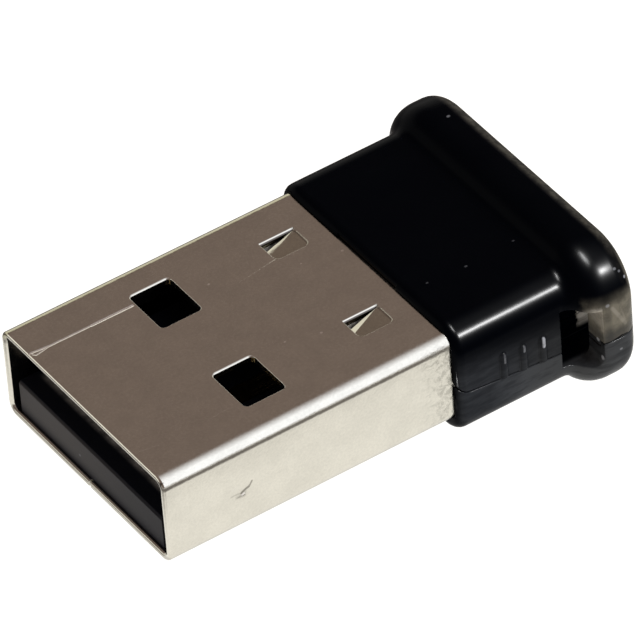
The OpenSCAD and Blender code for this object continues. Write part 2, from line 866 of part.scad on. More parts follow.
plug_shell();
plug_insulator();
contact_power();
contact_data_minus();
contact_data_plus();
contact_ground();
upper_cover();
lower_cover();
circuit_board();
radio_chip();
memory_chip();
crystal();
voltage_regulator();
surge_protector();
band_filter();
chip_antenna();
indicator_light();
power_bead();
capacitors();
resistors();
contact_joints();
shell_joints();
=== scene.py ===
"""Looks for a short USB bluetooth adapter: a plated plug, and behind it a glossy smoke-black housing."""

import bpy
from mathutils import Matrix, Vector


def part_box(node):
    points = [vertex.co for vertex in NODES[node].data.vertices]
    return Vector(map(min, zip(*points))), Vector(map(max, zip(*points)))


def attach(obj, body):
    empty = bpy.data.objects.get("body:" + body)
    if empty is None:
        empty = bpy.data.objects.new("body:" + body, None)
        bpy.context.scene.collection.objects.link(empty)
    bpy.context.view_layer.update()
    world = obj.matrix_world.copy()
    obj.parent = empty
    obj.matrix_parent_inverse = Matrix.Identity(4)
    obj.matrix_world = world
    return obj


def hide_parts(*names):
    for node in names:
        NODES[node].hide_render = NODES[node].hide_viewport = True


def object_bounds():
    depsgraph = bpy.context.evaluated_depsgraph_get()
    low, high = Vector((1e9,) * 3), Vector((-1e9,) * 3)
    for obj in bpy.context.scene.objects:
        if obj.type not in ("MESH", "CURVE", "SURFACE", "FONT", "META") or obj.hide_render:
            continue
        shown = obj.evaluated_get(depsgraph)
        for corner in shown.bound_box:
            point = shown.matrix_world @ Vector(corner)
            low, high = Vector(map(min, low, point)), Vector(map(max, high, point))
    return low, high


bl_info = {
    "name": "USB bluetooth adapter",
    "version": (1, 0, 0),
    "blender": (4, 5, 0),
    "location": "3D View > Sidebar > Adapter",
    "description": "Finishes the packed adapter: soft edges, plated sheet, smoke plastic and a studio",
    "category": "Object",
}

import math

import bmesh
import bpy
from mathutils import Vector

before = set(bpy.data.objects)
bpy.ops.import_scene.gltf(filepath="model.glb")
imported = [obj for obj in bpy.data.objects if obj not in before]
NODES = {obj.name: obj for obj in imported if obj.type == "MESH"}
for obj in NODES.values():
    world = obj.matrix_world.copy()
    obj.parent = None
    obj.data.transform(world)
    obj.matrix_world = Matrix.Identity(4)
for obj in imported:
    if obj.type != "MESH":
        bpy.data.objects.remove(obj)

MM = 0.001
CAD_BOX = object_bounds()
PLUG_LOW, PLUG_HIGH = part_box("plug_shell")

# The plug's own frame, in which the surface details are placed: x from the mouth, z from the plug's middle
MOUTH_X = PLUG_LOW.x
PLUG_MIDDLE_Z = (PLUG_LOW.z + PLUG_HIGH.z) / 2
HOUSING_X = (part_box("upper_cover")[0].x - MOUTH_X) / MM
REAR_X = (CAD_BOX[1].x - MOUTH_X) / MM

# The latch windows, in metres, and how near counts as touching
WINDOW_X = 6.16 * MM
WINDOW_L = 2.0 * MM
WINDOW_W = 2.5 * MM
WINDOW_PITCH = 6.1 * MM
NEAR = 0.01 * MM


class PlugLook(bpy.types.PropertyGroup):
    """Sizes and colours of the metal plug and what it holds"""

    mouth_r: bpy.props.FloatProperty(
        name="Mouth edge", description="Radius on the sheet's edges at the mouth",
        default=0.12 * MM, min=0.0, unit="LENGTH", precision=6)
    punched_r: bpy.props.FloatProperty(
        name="Punched edge", description="Radius that the punch leaves on a window's outer edge",
        default=0.075 * MM, min=0.0, unit="LENGTH", precision=6)
    edge_r: bpy.props.FloatProperty(
        name="Sheet edge", description="Radius on the sheet's other cut edges",
        default=0.02 * MM, min=0.0, unit="LENGTH", precision=6)
    metal: bpy.props.FloatVectorProperty(
        name="Plating", description="Colour of the plated sheet",
        default=(0.665, 0.645, 0.568), size=3, min=0.0, max=1.0, subtype="COLOR")
    insulator: bpy.props.FloatVectorProperty(
        name="Insulator", description="Colour of the moulded tongue",
        default=(0.008, 0.009, 0.014), size=3, min=0.0, max=1.0, subtype="COLOR")
    # The tongue's front face is painted lighter: painted light where light falls on it
    rubbed: bpy.props.FloatVectorProperty(
        name="Lit front", description="Colour of the tongue's front, painted lighter where light falls on it",
        default=(0.043, 0.039, 0.038), size=3, min=0.0, max=1.0, subtype="COLOR")
    gold: bpy.props.FloatVectorProperty(
        name="Contacts", description="Colour of the contacts' plating",
        default=(0.54, 0.39, 0.19), size=3, min=0.0, max=1.0, subtype="COLOR")


class HousingLook(bpy.types.PropertyGroup):
    """Sizes and colours of the two covers"""

    edge_r: bpy.props.FloatProperty(
        name="Cover edge", description="Radius on the covers' moulded edges",
        default=0.04 * MM, min=0.0, unit="LENGTH", precision=6)
    smoke: bpy.props.FloatVectorProperty(
        name="Smoke plastic", description="Colour of the plastic where it is thick",
        default=(0.0004, 0.0008, 0.0020), size=3, min=0.0, max=1.0, subtype="COLOR")
    # Also the colour of the painted glow on the upper cover's sides
    haze: bpy.props.FloatVectorProperty(
        name="Hazy plastic", description="Colour of the lower cover, whose plastic is paler",
        default=(0.050, 0.052, 0.053), size=3, min=0.0, max=1.0, subtype="COLOR")
    thin: bpy.props.FloatVectorProperty(
        name="Thin plastic", description="Colour of the plastic where light gets through it",
        default=(0.165, 0.150, 0.114), size=3, min=0.0, max=1.0, subtype="COLOR")


class BoardLook(bpy.types.PropertyGroup):
    """Colours of the circuit board and its parts"""

    mask: bpy.props.FloatVectorProperty(
        name="Solder mask", description="Colour of the board's mask",
        default=(0.01, 0.10, 0.045), size=3, min=0.0, max=1.0, subtype="COLOR")
    resin: bpy.props.FloatVectorProperty(
        name="Moulding resin", description="Colour of the chips",
        default=(0.018, 0.018, 0.020), size=3, min=0.0, max=1.0, subtype="COLOR")
    tin: bpy.props.FloatVectorProperty(
        name="Tin", description="Colour of the solder",
        default=(0.72, 0.73, 0.75), size=3, min=0.0, max=1.0, subtype="COLOR")


class StudioLook(bpy.types.PropertyGroup):
    """Sizes and colours of the studio"""

    floor_r: bpy.props.FloatProperty(
        name="Floor radius", description="Radius of the floor",
        default=0.6, min=0.1, unit="LENGTH")
    floor: bpy.props.FloatVectorProperty(
        name="Floor", description="Colour of the floor",
        default=(0.145, 0.120, 0.105), size=3, min=0.0, max=1.0, subtype="COLOR")
    floor_glow: bpy.props.FloatProperty(
        name="Floor glow", description="Light that the backlit floor gives by itself",
        default=1.1, min=0.0)
    room: bpy.props.FloatVectorProperty(
        name="Room", description="Colour of the room that the metal reflects",
        default=(0.234, 0.179, 0.158), size=3, min=0.0, max=1.0, subtype="COLOR")
    sweep: bpy.props.FloatVectorProperty(
        name="Paper sweep", description="Colour of the lit paper behind the adapter",
        default=(1.0, 0.97, 0.90), size=3, min=0.0, max=1.0, subtype="COLOR")
    sweep_glow: bpy.props.FloatProperty(
        name="Paper glow", description="Brightness of the lit paper behind the adapter",
        default=1.3, min=0.0)
    softbox: bpy.props.FloatVectorProperty(
        name="Softbox", description="Light of the softbox above the adapter",
        default=(1.58, 1.62, 1.78), size=3, min=0.0, subtype="COLOR")
    key_power: bpy.props.FloatProperty(
        name="Key light", description="Power of the key light",
        default=35.0, min=0.0, unit="POWER")
    strip_power: bpy.props.FloatProperty(
        name="Strip light", description="Power of the narrow light overhead",
        default=28.0, min=0.0, unit="POWER")


class Tree:
    """Adds nodes to a material's or a group's node tree, each with its settings and inputs in one call."""

    def __init__(self, tree):
        self.tree = tree

    def add(self, kind, settings=None, **inputs):
        """A node of one kind; an underscore in an input's name stands for a space"""
        node = self.tree.nodes.new(kind)
        for key, value in (settings or {}).items():
            setattr(node, key, value)
        for key, value in inputs.items():
            self.put(node, key.replace("_", " "), value)
        return node

    def put(self, node, key, value):
        """Links or sets one input of a node, by its name or its number"""
        socket = node.inputs[int(key)] if key.isdigit() else node.inputs[key]
        if isinstance(value, bpy.types.NodeSocket):
            self.tree.links.new(value, socket)
        else:
            socket.default_value = value

    def math(self, operation, *values, clamp=False):
        """One step of arithmetic, on links and numbers"""
        node = self.add("ShaderNodeMath", {"operation": operation, "use_clamp": clamp})
        for i, value in enumerate(values):
            self.put(node, str(i), value)
        return node.outputs[0]

    def times(self, first, *others):
        """The product of several values"""
        for value in others:
            first = self.math("MULTIPLY", first, value)
        return first

    def highest(self, first, *others):
        """The largest of several values"""
        for value in others:
            first = self.math("MAXIMUM", first, value)
        return first

    def total(self, base, *parts):
        """A base plus several values, each times its share"""
        for value, share in parts:
            base = self.math("MULTIPLY_ADD", value, share, base)
        return base

    def off(self, value, middle):
        """How far a value lies from a middle, to either side"""
        return self.math("ABSOLUTE", self.math("SUBTRACT", value, middle))

    def vector(self, operation, *values):
        """One step of vector arithmetic"""
        node = self.add("ShaderNodeVectorMath", {"operation": operation})
        for i, value in enumerate(values):
            self.put(node, str(i), value)
        return node.outputs["Value" if operation in ("DOT_PRODUCT", "LENGTH") else "Vector"]

    def scaled(self, vector, scale):
        """A vector times a number"""
        node = self.add("ShaderNodeVectorMath", {"operation": "SCALE"}, Vector=vector, Scale=scale)
        return node.outputs[0]

    def axes(self, place):
        """The X, Y and Z of a place"""
        return self.add("ShaderNodeSeparateXYZ", None, Vector=place).outputs

    def ramp(self, value, low, high, out_low=0.0, out_high=1.0):
        """A smooth step from out_low at low to out_high at high"""
        node = self.add("ShaderNodeMapRange", {"interpolation_type": "SMOOTHSTEP"})
        for key, number in enumerate((value, low, high, out_low, out_high)):
            self.put(node, str(key), number)
        return node.outputs[0]

    def noise(self, place, scale, detail=2.0, roughness=0.5, distortion=0.0):
        """A cloudy pattern's value, from 0 to 1"""
        return self.add("ShaderNodeTexNoise", None, Vector=place, Scale=scale, Detail=detail,
                        Roughness=roughness, Distortion=distortion).outputs["Fac"]

    def mix(self, factor, first, second):
        """The first colour where the factor is 0 and the second where it is 1"""
        node = self.add("ShaderNodeMix", {"data_type": "RGBA"})
        self.put(node, "0", factor)
        for key, value in (("6", first), ("7", second)):
            self.put(node, key, value if isinstance(value, bpy.types.NodeSocket) else (*value, 1.0))
        return node.outputs[2]

    def layers(self, base, *coats):
        """A colour with coats over it, each given as its mask and its colour, the last on top"""
        for mask, colour in coats:
            base = self.mix(mask, base, colour)
        return base

    def bump(self, height, strength, distance):
        """The normal of a surface with a relief of this height"""
        return self.add("ShaderNodeBump", None, Strength=strength, Distance=distance,
                        Height=height).outputs["Normal"]


def toned(colour, share):
    """A colour made darker or brighter"""
    return tuple(c * share for c in colour)


def new_group(name, inputs, outputs):
    """A shader node group with these inputs and float outputs; returns its tree and its inside's two ends"""
    group = bpy.data.node_groups.new(name, "ShaderNodeTree")
    for label, kind, value in inputs:
        socket = group.interface.new_socket(label, in_out="INPUT", socket_type=kind)
        if value is not None:
            socket.default_value = value
    for label in outputs:
        group.interface.new_socket(label, in_out="OUTPUT", socket_type="NodeSocketFloat")
    tree = Tree(group)
    return tree, tree.add("NodeGroupInput").outputs, tree.add("NodeGroupOutput")


def group_node(tree, name, **inputs):
    """A group in a material, with its own values; returns its outputs"""
    return tree.add("ShaderNodeGroup", {"node_tree": bpy.data.node_groups[name]}, **inputs).outputs


def make_stroke_group():
    """One scratch: a mask round a straight line between two points, broken up along its length"""
    tree, given, out = new_group("stroke", [
        ("Place", "NodeSocketVector", None), ("From", "NodeSocketVector", None),
        ("To", "NodeSocketVector", None), ("Width", "NodeSocketFloat", 0.05),
        ("Wander", "NodeSocketFloat", 0.02)], ["Mask"])
    wobble = tree.add("ShaderNodeTexNoise", None, Vector=given["Place"], Scale=2.5, Detail=3.0)
    middle_grey = (0.5, 0.5, 0.5)
    shift = tree.scaled(tree.vector("SUBTRACT", wobble.outputs["Color"], middle_grey), given["Wander"])
    along = tree.vector("SUBTRACT", given["To"], given["From"])
    reach = tree.vector("SUBTRACT", tree.vector("ADD", given["Place"], shift), given["From"])
    share = tree.math("DIVIDE", tree.vector("DOT_PRODUCT", reach, along),
                      tree.vector("DOT_PRODUCT", along, along), clamp=True)
    gap = tree.vector("LENGTH", tree.vector("SUBTRACT", reach, tree.scaled(along, share)))
    half = tree.math("MULTIPLY", given["Width"], 0.5)
    tree.put(out, "Mask", tree.ramp(tree.math("DIVIDE", gap, half), 1.0, 0.3))


def make_grain_group():
    """The fine mottled grain of a satin surface"""
    tree, given, out = new_group("fine_grain", [
        ("Place", "NodeSocketVector", None), ("Fineness", "NodeSocketFloat", 10.0),
        ("Mottle", "NodeSocketFloat", 0.8)], ["Grain", "Cloud"])
    tree.put(out, "Grain", tree.noise(given["Place"], given["Fineness"], 3.0, 0.6))
    tree.put(out, "Cloud", tree.noise(given["Place"], given["Mottle"], 3.0, 0.55))


def make_dust_group():
    """Small pale specks, scattered thinly"""
    tree, given, out = new_group("dust", [
        ("Place", "NodeSocketVector", None), ("Spacing", "NodeSocketFloat", 1.0),
        ("Speck", "NodeSocketFloat", 0.06), ("Amount", "NodeSocketFloat", 0.4)], ["Mask"])
    scale = tree.math("DIVIDE", 1.0, given["Spacing"])
    cells = tree.add("ShaderNodeTexVoronoi", None, Vector=given["Place"], Scale=scale).outputs
    draw = tree.add("ShaderNodeSeparateColor", None, Color=cells["Color"]).outputs
    chosen = tree.math("LESS_THAN", draw[0], given["Amount"])
    size = tree.times(given["Speck"], scale, draw[1])
    speck = tree.ramp(tree.math("DIVIDE", cells["Distance"], size), 1.0, 0.5)
    tree.put(out, "Mask", tree.times(speck, chosen))


def make_hairline_group():
    """Faint straight hairline scratches, in broken lines along one direction"""
    tree, given, out = new_group("hairlines", [
        ("Place", "NodeSocketVector", None), ("Stretch", "NodeSocketVector", (0.4, 9.0, 9.0)),
        ("Amount", "NodeSocketFloat", 0.66)], ["Mask"])
    lines = tree.noise(tree.vector("MULTIPLY", given["Place"], given["Stretch"]), 1.0, 2.0, 0.5)
    limit = tree.math("ADD", given["Amount"], 0.05)
    line = tree.ramp(lines, given["Amount"], limit)
    gate = tree.ramp(tree.noise(given["Place"], 0.7, 1.0, 0.5), 0.45, 0.62)
    tree.put(out, "Mask", tree.times(line, gate))


def new_material(name):
    """A new material, its tree and its shader"""
    material = bpy.data.materials.new(name)
    material.use_nodes = True
    return material, Tree(material.node_tree), material.node_tree.nodes["Principled BSDF"]


def place_in_mm(tree):
    """Object coordinates in millimetres, in the plug's own frame"""
    spot = tree.add("ShaderNodeTexCoord").outputs["Object"]
    shift = (-MOUTH_X / MM, 0.0, -PLUG_MIDDLE_Z / MM)
    return tree.add("ShaderNodeMapping", None, Vector=spot, Location=shift,
                    Scale=(1 / MM,) * 3).outputs[0]


def strokes(tree, place, lines):
    """The strongest of several strokes, each given as its two ends, its width and its depth"""
    return tree.highest(0.0, *(
        tree.times(group_node(tree, "stroke", Place=place, From=start, To=end, Width=width)[0], depth)
        for start, end, width, depth in lines))


def dots(tree, place, spots, length):
    """Strokes that are so short that they show as specks"""
    return strokes(tree, place, [(spot, (spot[0] + length, *spot[1:]), width, depth)
                                 for spot, width, depth in spots])


# Measures in millimetres, in the plug's own frame: the plug's top and sides, the lances in its top, and
# the front of the tongue
TOP_Z = 2.25
SIDE_Y = 6.0
LANCE_X = 12.05
LANCE_L = 1.7
LANCE_W = 1.22
LANCE_PITCH = 6.1
FACE_X = 0.2
FACE_LOW = -1.95
FACE_HIGH = -0.27
# Each mark: its two ends, width and depth
TOP_SCRATCHES = [
    ((0.06, 3.90, TOP_Z), (0.95, 3.81, TOP_Z), 0.13, 0.75),
    ((0.25, 3.66, TOP_Z), (0.95, 3.79, TOP_Z), 0.10, 0.6),
    ((0.06, 3.90, TOP_Z), (0.25, 3.66, TOP_Z), 0.10, 0.6),
    ((0.95, 3.80, TOP_Z), (3.00, 3.78, TOP_Z), 0.12, 0.75),
    ((3.00, 3.78, TOP_Z), (5.02, 3.77, TOP_Z), 0.17, 0.9),
    ((0.30, -3.82, TOP_Z), (1.17, -3.99, TOP_Z), 0.06, 0.12),
    ((3.60, -3.96, TOP_Z), (4.63, -3.88, TOP_Z), 0.06, 0.12),
]
# The nick's edges, as painted shade, and below them its painted highlight
DENT_SHADE_LINES = [
    ((3.10, 0.0, -0.27), (3.64, 0.0, -0.37), 0.10, 0.35),
    ((3.64, 0.0, -0.37), (3.98, 0.0, -0.16), 0.16, 1.0),
    ((3.98, 0.0, -0.16), (4.13, 0.0, 0.08), 0.14, 0.85),
]
PAINTED_DENT_GLINT = [((3.66, 0.0, -0.46), (3.76, 0.0, -0.42), 0.12, 1.0)]
# Each speck: its place, width and depth
TOP_SPECKS = [
    ((8.17, 2.93, TOP_Z), 0.16, 0.5), ((13.65, 1.26, TOP_Z), 0.15, 0.5),
    ((10.12, -2.41, TOP_Z), 0.15, 0.5), ((8.63, -1.96, TOP_Z), 0.10, 0.5),
    ((11.87, 1.65, TOP_Z), 0.09, 0.5),
]
# A grey for painted shade: at the mouth's upper edge, under the lower edges and along the slits
SHADE_GREY = (0.10, 0.09, 0.08)
# Pale for scratches, specks and dust, and for the nick's painted highlight
PALE_METAL = (1.0, 0.97, 0.93)


def by_lance(tree, axes):
    """How far a point lies from the nearer lance's middle, across and along the plug"""
    return tree.off(tree.math("ABSOLUTE", axes["Y"]), LANCE_PITCH / 2), tree.off(axes["X"], LANCE_X)


def lance_masks(tree, axes):
    """Masks of painted shade at the lances: on the coined fields, along the far rims of the fields, and at
    the edges of the slits
    """
    across, along = by_lance(tree, axes)
    skin = tree.ramp(axes["Z"], 2.0, 2.1)
    # Painted shade over the coined fields
    field_shade = tree.times(tree.ramp(across, LANCE_W / 2 + 0.05, LANCE_W / 2 - 0.1),
                       tree.ramp(along, LANCE_L / 2 + 0.05, LANCE_L / 2 - 0.1, 0.0, 0.35),
                       tree.ramp(axes["Z"], 1.6, 1.9))
    end = LANCE_X + LANCE_L / 2
    # Painted shade along the far rims of the fields
    rim = tree.times(tree.ramp(across, LANCE_W / 2 + 0.2, LANCE_W / 2 + 0.1),
                     tree.ramp(axes["X"], end - 0.13, end - 0.05),
                     tree.ramp(axes["X"], end + 0.12, end + 0.04),
                     skin, tree.ramp(axes["Z"], TOP_Z - 0.001, TOP_Z - 0.01))
    # Painted shade along one edge of each of the slits
    slit_shade = 0.0
    for middle in (-LANCE_PITCH / 2, LANCE_PITCH / 2):
        beyond = tree.math("SUBTRACT", axes["Y"], middle + LANCE_W / 2)
        line = tree.times(tree.ramp(beyond, -0.04, -0.01), tree.ramp(beyond, 0.06, 0.035))
        slit_shade = tree.highest(slit_shade, line)
    slit_shade = tree.times(slit_shade, tree.ramp(along, LANCE_L / 2 + 0.02, LANCE_L / 2 - 0.02), skin)
    return field_shade, rim, slit_shade


def nickel_sheet(look):
    """Nickel plate over rolled sheet: satin grain, hairlines, one long scratch and scuffs by the housing,
    with painted shade and a painted highlight
    """
    material, tree, shader = new_material("nickel_sheet")
    place = place_in_mm(tree)
    axes = tree.axes(place)
    wide = tree.math("ABSOLUTE", axes["Y"])
    tall = tree.math("ABSOLUTE", axes["Z"])
    grain = group_node(tree, "fine_grain", Place=place, Fineness=8.0, Mottle=0.9)
    hair = group_node(tree, "hairlines", Place=place, Stretch=(0.5, 8.0, 8.0), Amount=0.74)[0]
    dust = group_node(tree, "dust", Place=place, Spacing=1.7, Speck=0.07, Amount=0.3)[0]
    scratch = strokes(tree, place, TOP_SCRATCHES)
    specks = dots(tree, place, TOP_SPECKS, 0.03)
    field_shade, rim, slit_shade = lance_masks(tree, axes)

    # The nick in the near side, drawn as painted shade along its edges and a painted highlight
    side = tree.times(tree.ramp(axes["Y"], -5.7, -5.85), tree.ramp(axes["X"], 5.0, 4.5))
    beside = tree.vector("MULTIPLY", place, (1.0, 0.0, 1.0))
    dent_shade = tree.times(strokes(tree, beside, DENT_SHADE_LINES), side)
    painted_glint = tree.times(strokes(tree, beside, PAINTED_DENT_GLINT), side)

    # Rubbed patches on the sides, just in front of the housing
    scuff = tree.times(tree.ramp(tree.noise(place, 3.4, 5.0, 0.7, 0.6), 0.44, 0.66),
                       tree.ramp(axes["X"], HOUSING_X - 1.9, HOUSING_X - 0.5), tree.ramp(wide, 5.75, 5.95))

    # Painted shade on the inner half of the mouth's upper edge and under the lower edges, and painted shade
    # (a darker, olive reflection) along the far edge
    inwards = tree.highest(tree.math("SUBTRACT", tall, TOP_Z), tree.math("SUBTRACT", wide, SIDE_Y))
    mouth_shade = tree.times(tree.ramp(inwards, -0.13, -0.17), tree.ramp(axes["X"], 0.2, 0.12),
                      tree.ramp(axes["Z"], 1.4, 1.8),
                      tree.ramp(tree.noise(place, 7.0, 4.0, 0.7), 0.35, 0.6, 0.95, 0.55))
    under = tree.ramp(axes["Z"], 0.46 - TOP_Z, 0.28 - TOP_Z, 0.0, 0.35)
    far_edge_shade = tree.times(tree.ramp(axes["Y"], SIDE_Y - 0.58, SIDE_Y - 0.46),
                          tree.ramp(axes["Z"], TOP_Z - 0.5, TOP_Z - 0.35, 0.0, 0.75))

    # Pale scratches, specks and dust, and the nick's painted highlight; the coats under them hold painted
    # shade at the mouth, the lower edges, the far edge, the lances and the nick
    pale = tree.highest(scratch, specks, tree.times(dust, 0.25), painted_glint)
    base = tree.mix(tree.ramp(grain["Cloud"], 0.3, 0.7), toned(look.metal, 0.93), look.metal)
    tree.put(shader, "Base Color", tree.layers(
        base, (tree.ramp(grain["Grain"], 0.3, 0.7, 0.10, 0.0), (0.2, 0.19, 0.17)),
        (tree.times(scuff, 0.36), (0.20, 0.20, 0.17)), (tree.highest(mouth_shade, under), SHADE_GREY),
        (tree.highest(far_edge_shade, field_shade), (0.30, 0.28, 0.17)), (slit_shade, SHADE_GREY),
        (tree.times(rim, 0.6), (0.22, 0.20, 0.17)), (tree.times(dent_shade, 0.75), (0.13, 0.12, 0.10)),
        (pale, PALE_METAL)))
    tree.put(shader, "Roughness", tree.total(
        0.09, (grain["Grain"], 0.10), (hair, 0.03), (scuff, 0.15), (pale, 0.15)))
    shader.inputs["Metallic"].default_value = 1.0
    wave = tree.times(tree.noise(place, 2.2, 2.0, 0.5),
                      tree.ramp(wide, SIDE_Y - 0.7, SIDE_Y - 0.4, 0.0, 1.1))
    height = tree.total(wave, (grain["Grain"], 0.8), (hair, -0.1), (scratch, -1.5), (scuff, -0.6))
    tree.put(shader, "Normal", tree.bump(height, 0.7, 0.008 * MM))
    return material


def insulator_plastic(look):
    """Blue-black satin plastic, with painted light on the front face and in the rooms under the lances"""
    material, tree, shader = new_material("insulator_plastic")
    place = place_in_mm(tree)
    axes = tree.axes(place)
    grain = group_node(tree, "fine_grain", Place=place, Fineness=14.0, Mottle=0.7)
    dust = group_node(tree, "dust", Place=place, Spacing=0.9, Speck=0.08, Amount=0.35)[0]
    # Painted light on the tongue's front face, fading towards its top, its bottom and its near side
    face = tree.times(tree.ramp(axes["X"], FACE_X + 0.12, FACE_X + 0.02),
                      tree.ramp(axes["Z"], FACE_LOW, FACE_LOW + 0.75, 0.1, 1.0),
                      tree.ramp(axes["Z"], FACE_HIGH, FACE_HIGH - 0.3, 0.6, 1.0),
                      tree.ramp(axes["Y"], -5.2, 3.0, 0.35, 1.0))
    across, along = by_lance(tree, axes)
    # Painted light in the rooms under the lances, seen through the slits
    under = tree.times(tree.ramp(across, LANCE_W / 2 + 0.2, LANCE_W / 2 + 0.1),
                       tree.ramp(along, LANCE_L / 2 + 0.2, LANCE_L / 2 + 0.1),
                       tree.ramp(axes["Z"], 1.2, 1.3),
                       tree.ramp(tree.noise(place, 3.0, 3.0, 0.6), 0.4, 0.6, 0.3, 1.0))

    # A paler, patchy band across the tongue's top, just inside the mouth
    patchy = tree.noise(tree.vector("MULTIPLY", place, (0.5, 1.0, 1.0)), 1.1, 4.0, 0.5)
    band = tree.times(tree.ramp(axes["X"], 0.95, 1.3), tree.ramp(axes["X"], 1.6, 1.4),
                      tree.ramp(axes["Z"], FACE_HIGH - 0.2, FACE_HIGH - 0.1),
                      tree.ramp(tree.math("ABSOLUTE", axes["Y"]), 5.2, 4.4),
                      tree.ramp(patchy, 0.35, 0.6, 0.35, 1.0))

    base = tree.mix(grain["Cloud"], toned(look.insulator, 0.8), look.insulator)
    tree.put(shader, "Base Color", tree.layers(
        base, (face, look.rubbed), (under, (0.75, 0.71, 0.63)), (band, (0.31, 0.30, 0.295)),
        (tree.times(dust, 0.4), (0.2, 0.21, 0.23))))
    tree.put(shader, "Roughness", tree.total(0.30, (grain["Grain"], 0.14)))
    shader.inputs["Specular IOR Level"].default_value = 0.03
    tree.put(shader, "Normal", tree.bump(grain["Grain"], 0.3, 0.01 * MM))
    return material


def gold_contact(look):
    """A thin gold flash on drawn strip, dulled where the socket's springs wipe it"""
    material, tree, shader = new_material("gold_contact")
    place = place_in_mm(tree)
    grain = group_node(tree, "fine_grain", Place=place, Fineness=12.0, Mottle=1.1)
    wipe = group_node(tree, "hairlines", Place=place, Stretch=(0.3, 14.0, 14.0), Amount=0.52)[0]
    base = tree.mix(grain["Cloud"], toned(look.gold, 0.85), look.gold)
    tree.put(shader, "Base Color", tree.mix(wipe, base, (0.52, 0.40, 0.23)))
    tree.put(shader, "Roughness", tree.total(0.2, (wipe, 0.1)))
    shader.inputs["Metallic"].default_value = 1.0
    tree.put(shader, "Normal", tree.bump(wipe, 0.3, 0.004 * MM))
    return material


# The housing, in the same millimetres: the parting line's slope and heights, the lanyard opening's
# front edge, and the near front corner of the post behind it
SEAM_SLOPE = -0.0963
SEAM_START = 0.821
FLANGE_SEAM_Z = -0.61
FAR_BELOW = -10.0
OPENING_X = 19.1
POST_X = 20.5
POST_Y = -6.3
# Painted highlights along the ribs' crests
RIB_HIGHLIGHTS = [
    ((18.18, -6.53, 0.36), (18.18, -6.53, -0.06), 0.22, 0.85),
    ((17.21, -6.53, 0.44), (17.21, -6.53, 0.20), 0.16, 0.30),
    ((16.24, -6.53, 0.50), (16.24, -6.53, 0.10), 0.14, 0.22),
]
# Painted shade along the crack between the covers at the post, drawn in the smoke colour
POST_CRACK = [
    ((20.50, -7.35, -0.62), (20.87, -7.49, -0.60), 0.14, 0.9),
    ((20.87, -7.49, -0.60), (21.34, -7.50, -0.50), 0.15, 0.9),
    ((21.34, -7.50, -0.50), (21.62, -7.48, -0.53), 0.11, 0.9),
]
POST_CREASES = [
    ((20.95, -7.47, 1.15), (21.56, -7.50, 0.04), 0.26, 0.32),
    ((21.36, -7.44, 1.00), (21.56, -7.50, 0.10), 0.16, 0.22),
    ((20.10, -7.17, 1.00), (20.45, -7.33, 0.10), 0.30, 0.5),
]
HOUSING_SPECKS = [
    ((20.74, -7.44, 1.35), 0.20, 0.35), ((20.50, -6.98, -0.62), 0.26, 0.5),
    ((20.52, -7.28, -1.42), 0.30, 0.5), ((21.26, -7.50, -1.21), 0.15, 0.3),
    ((21.54, -6.89, 2.55), 0.16, 0.35), ((21.71, -6.97, 2.40), 0.15, 0.3),
    ((21.90, -7.07, 2.08), 0.18, 0.6), ((16.83, -3.07, 2.63), 0.14, 0.15),
    ((15.00, -2.93, 2.63), 0.12, 0.12), ((21.19, 4.37, 3.43), 0.18, 0.35),
    ((19.26, -2.97, 2.62), 0.12, 0.12),
]
BLUER = (0.98, 1.02, 1.10)


